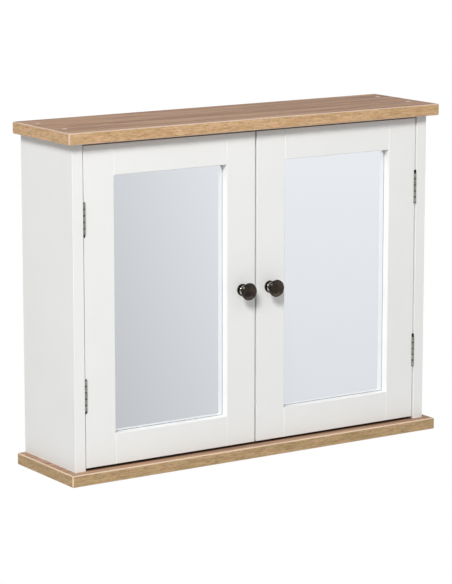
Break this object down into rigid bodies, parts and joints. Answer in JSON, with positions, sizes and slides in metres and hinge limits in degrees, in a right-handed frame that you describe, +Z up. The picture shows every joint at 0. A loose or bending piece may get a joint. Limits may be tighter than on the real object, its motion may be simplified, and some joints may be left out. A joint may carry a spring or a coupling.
{
  "type": "bathroom mirror cabinet",
  "caption": "Wall cabinet with two framed mirror doors on butt hinges between overhanging wood-effect boards, with an adjustable shelf and a magnetic catch.",
  "frame": {"origin": "middle of the cabinet's outline, knobs included, on the underside of the bottom board", "axes": "+X to the viewer's right along the boards, +Y from the doors to the wall, +Z up"},
  "size_m": [0.6, 0.1554, 0.47],
  "materials": {
    "board_face": "wood-effect foil, brown with a pinkish grain",
    "board_edging": "wood-effect edging, tan",
    "white_lacquer": "satin white lacquer",
    "white_shelf": "white melamine face",
    "fibreboard": "thin fibreboard",
    "plain_wood": "bare softwood and beech",
    "mirror_glass": "silvered glass",
    "knob_metal": "dark bronze plating, polished",
    "hinge_nickel": "nickel plated, satin",
    "zinc_steel": "bright zinc plating",
    "cap_plastic": "pale beige plastic",
    "white_plastic": "white moulded plastic",
    "magnet": "sintered ferrite, dull"
  },
  "bodies": {
    "cabinet": {"top_board": "board_face", "top_board_front_edging": "board_edging", "top_board_end_edgings": "board_edging", "bottom_board": "board_face", "bottom_board_front_edging": "board_edging", "bottom_board_end_edgings": "board_edging", "left_side_panel": "white_lacquer", "right_side_panel": "white_lacquer", "back_panel": "fibreboard", "hanging_rail": "plain_wood", "dowels": "plain_wood", "carcass_screws": "zinc_steel", "screw_caps": "cap_plastic", "shelf_pins": "zinc_steel", "catch_housing": "white_plastic", "catch_magnets": "magnet", "catch_poles": "zinc_steel", "catch_screws": "zinc_steel", "frame_leaf_screws": "zinc_steel", "left_upper_hinge_frame_leaf": "hinge_nickel", "left_upper_hinge_pin": "hinge_nickel", "left_lower_hinge_frame_leaf": "hinge_nickel", "left_lower_hinge_pin": "hinge_nickel", "right_upper_hinge_frame_leaf": "hinge_nickel", "right_upper_hinge_pin": "hinge_nickel", "right_lower_hinge_frame_leaf": "hinge_nickel", "right_lower_hinge_pin": "hinge_nickel"},
    "adjustable_shelf": {"shelf": "white_shelf", "shelf_front_edging": "white_shelf"},
    "left_door": {"left_door_hinge_stile": "white_lacquer", "left_door_knob_stile": "white_lacquer", "left_door_top_rail": "white_lacquer", "left_door_bottom_rail": "white_lacquer", "left_mirror": "mirror_glass", "left_mirror_backing": "fibreboard", "left_backing_clips": "zinc_steel", "left_backing_clip_screws": "zinc_steel", "left_strike_plate": "zinc_steel", "left_strike_plate_screw": "zinc_steel", "left_knob": "knob_metal", "left_knob_screw": "zinc_steel", "left_upper_hinge_door_leaf": "hinge_nickel", "left_lower_hinge_door_leaf": "hinge_nickel", "left_door_leaf_screws": "zinc_steel"},
    "right_door": {"right_door_hinge_stile": "white_lacquer", "right_door_knob_stile": "white_lacquer", "right_door_top_rail": "white_lacquer", "right_door_bottom_rail": "white_lacquer", "right_mirror": "mirror_glass", "right_mirror_backing": "fibreboard", "right_backing_clips": "zinc_steel", "right_backing_clip_screws": "zinc_steel", "right_strike_plate": "zinc_steel", "right_strike_plate_screw": "zinc_steel", "right_knob": "knob_metal", "right_knob_screw": "zinc_steel", "right_upper_hinge_door_leaf": "hinge_nickel", "right_lower_hinge_door_leaf": "hinge_nickel", "right_door_leaf_screws": "zinc_steel"}
  },
  "joints": [
    {"name": "left_door_hinge", "type": "hinge", "parent": "cabinet", "child": "left_door", "pos_m": [-0.2703, -0.0577, 0.23485], "axis": [0, 0, -1], "range_deg": [0, 180]},
    {"name": "right_door_hinge", "type": "hinge", "parent": "cabinet", "child": "right_door", "pos_m": [0.2703, -0.0577, 0.23485], "axis": [0, 0, 1], "range_deg": [0, 180]},
    {"name": "shelf_lift", "type": "slide", "parent": "cabinet", "child": "adjustable_shelf", "axis": [0, 0, 1], "range_m": [0, 0.02]}
  ]
}
